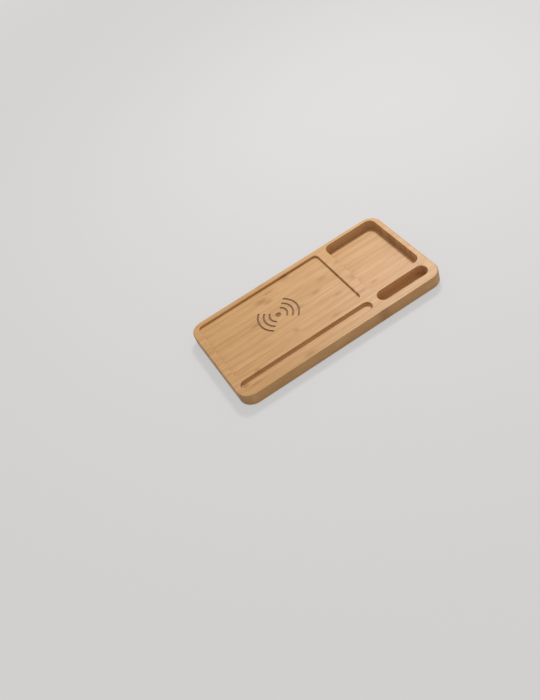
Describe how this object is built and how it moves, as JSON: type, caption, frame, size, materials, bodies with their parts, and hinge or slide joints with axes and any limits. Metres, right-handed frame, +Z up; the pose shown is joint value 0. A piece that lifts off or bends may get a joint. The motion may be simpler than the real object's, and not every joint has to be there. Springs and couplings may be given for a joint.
{
  "type": "desk organizer with wireless charger",
  "caption": "Bamboo desk organizer block with a shallow phone tray over a wireless charging coil, a pen groove, a deep compartment and a slot, on rubber feet, with a power inlet at the back.",
  "frame": {"origin": "on the desk, under the middle of the block", "axes": "+X along the length to the deep compartment, +Y to the back with the power inlet, +Z up"},
  "size_m": [0.248, 0.13, 0.016],
  "materials": {
    "bamboo": "fine straight grain, satin clear lacquer",
    "cover_plastic": "fine moulded texture",
    "screw_steel": "zinc plated",
    "foot_rubber": "matt",
    "tape_film": "double-sided adhesive film",
    "copper_wire": "enamelled",
    "ferrite": "sintered, matt",
    "board_laminate": "solder mask",
    "solder": "soft sheen",
    "capacitor_ceramic": "fired ceramic",
    "resistor_body": "glazed",
    "chip_plastic": "moulded epoxy",
    "inlet_steel": "drawn, nickel plated",
    "inlet_moulding": "moulded",
    "contact_gold": "gold flash"
  },
  "bodies": {
    "root": {"bamboo_body": "bamboo", "base_cover": "cover_plastic", "cover_screws": "screw_steel", "board_screws": "screw_steel", "foot_front_left": "foot_rubber", "foot_front_right": "foot_rubber", "foot_back_right": "foot_rubber", "foot_back_left": "foot_rubber", "coil_tape": "tape_film", "transmitter_coil": "copper_wire", "ferrite_plate": "ferrite", "circuit_board": "board_laminate", "lead_joints": "solder", "input_capacitors": "capacitor_ceramic", "ceramic_capacitors": "capacitor_ceramic", "resonant_capacitors": "capacitor_ceramic", "sense_resistor": "resistor_body", "chip_resistors": "resistor_body", "voltage_regulator": "chip_plastic", "bridge_transistors": "chip_plastic", "control_chip": "chip_plastic", "inlet_shell": "inlet_steel", "inlet_tongue": "inlet_moulding", "inlet_contacts": "contact_gold"}
  },
  "joints": []
}
